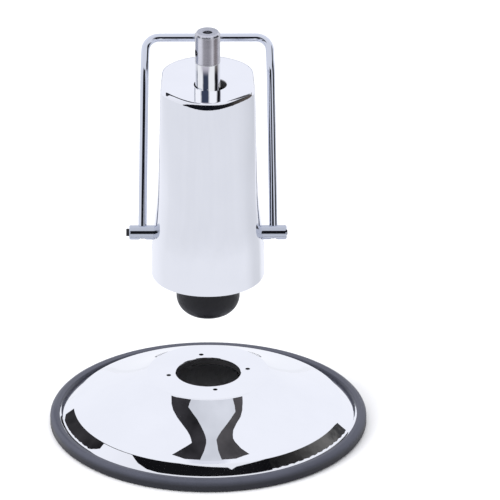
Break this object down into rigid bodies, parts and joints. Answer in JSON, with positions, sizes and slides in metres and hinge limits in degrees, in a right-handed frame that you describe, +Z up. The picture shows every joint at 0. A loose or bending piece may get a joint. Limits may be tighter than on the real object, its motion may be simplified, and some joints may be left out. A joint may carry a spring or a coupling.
{
  "type": "barber chair hydraulic pump",
  "caption": "Foot-pumped hydraulic column for a barber chair: chromed cover, swivel spindle and U-shaped pedal bar, held above its round domed base.",
  "frame": {"origin": "centre of the round base, on the floor", "axes": "+Z up along the ram, +X to the right of the front view, -Y is the front; the pedal bar leans back towards +Y"},
  "size_m": [0.4819, 0.482, 0.6525],
  "materials": {
    "base_chrome": "mirror polished chrome plate on pressed steel",
    "cover_chrome": "mirror polished chrome plate",
    "bar_chrome": "polished chrome plate on round bar",
    "hub_chrome": "polished chrome plate",
    "ram_chrome": "ground and hard chromed",
    "spindle_steel": "turned, fine rings",
    "edge_rubber": "slate grey moulded rubber, satin",
    "black_plate": "black primer",
    "cast_black": "cast iron, satin black paint",
    "tube_black": "satin black paint",
    "yoke_black": "satin black paint",
    "black_oxide": "black oxide",
    "plain_steel": "ground",
    "zinc_steel": "bright zinc",
    "spring_steel": "drawn wire",
    "ball_steel": "polished ball",
    "bronze": "turned bronze",
    "copper_ring": "soft copper",
    "seal_rubber": "black rubber"
  },
  "bodies": {
    "base": {"base_plate": "base_chrome", "base_rubber_rim": "edge_rubber", "base_backing_plate": "black_plate"},
    "pump": {"pump_casting": "cast_black", "drain_plug": "plain_steel", "drain_plug_washer": "copper_ring", "flange_bolts": "zinc_steel", "flange_spring_washers": "zinc_steel", "cylinder_gasket": "seal_rubber", "inner_cylinder": "plain_steel", "reservoir_tube": "tube_black", "gland_nut": "black_oxide", "gland_o_ring": "seal_rubber", "guide_bush": "bronze", "rod_wiper": "seal_rubber", "cover_cushion_ring": "seal_rubber", "filler_plug": "zinc_steel", "filler_plug_washer": "copper_ring", "pump_cover": "cover_chrome", "pivot_studs": "black_oxide", "plunger_barrel": "plain_steel", "plunger_seal": "seal_rubber", "plunger_spring": "spring_steel", "release_valve_body": "zinc_steel", "release_spring": "spring_steel", "suction_valve_plug": "zinc_steel", "delivery_valve_plug": "zinc_steel", "delivery_spring": "spring_steel"},
    "piston": {"piston": "plain_steel", "piston_seal": "seal_rubber", "thrust_washer": "bronze"},
    "ram": {"ram_rod": "ram_chrome", "ram_retaining_nut": "plain_steel", "spindle_head": "spindle_steel"},
    "pedal": {"pedal_yoke": "yoke_black", "yoke_bushes": "bronze", "pedal_hub_left": "hub_chrome", "pedal_hub_right": "hub_chrome", "hub_roll_pins": "plain_steel", "leg_set_screw_left": "black_oxide", "leg_set_screw_right": "black_oxide", "u_bar": "bar_chrome"},
    "plunger": {"plunger": "plain_steel", "plunger_cap": "plain_steel"},
    "release": {"release_pin": "plain_steel"},
    "suction_ball": {"suction_ball": "ball_steel"},
    "delivery_ball": {"delivery_ball": "ball_steel"}
  },
  "joints": [
    {"name": "pump_seat", "type": "slide", "parent": "base", "child": "pump", "axis": [0, 0, 1], "range_m": [-0.17, 0]},
    {"name": "ram_rise", "type": "slide", "parent": "pump", "child": "piston", "axis": [0, 0, 1], "range_m": [0, 0.15]},
    {"name": "ram_swivel", "type": "hinge", "parent": "piston", "child": "ram", "pos_m": [0, 0, 0.6], "axis": [0, 0, 1], "continuous": true},
    {"name": "pedal_swing", "type": "hinge", "parent": "pump", "child": "pedal", "pos_m": [0, 0, 0.3195], "axis": [-1, 0, 0], "range_deg": [0, 20], "stiffness_Nm_per_rad": 6, "springref_deg": -34.38},
    {"name": "plunger_stroke", "type": "slide", "parent": "pump", "child": "plunger", "axis": [0, 0, -1], "range_m": [0, 0.0195], "deforming": ["plunger_spring"]},
    {"name": "release_press", "type": "slide", "parent": "pump", "child": "release", "axis": [0, 0, -1], "range_m": [0, 0.0025], "stiffness_N_per_m": 800, "springref_m": -0.004, "deforming": ["release_spring"]},
    {"name": "suction_ball_lift", "type": "slide", "parent": "pump", "child": "suction_ball", "axis": [0, 0, 1], "range_m": [0, 0.0012]},
    {"name": "delivery_ball_lift", "type": "slide", "parent": "pump", "child": "delivery_ball", "axis": [0, 0, 1], "range_m": [0, 0.0012], "stiffness_N_per_m": 150, "springref_m": -0.003, "deforming": ["delivery_spring"]}
  ],
  "couplings": [
    {"joint": "plunger_stroke", "follows": "pedal_swing", "m_per_rad": 0.05472}
  ]
}
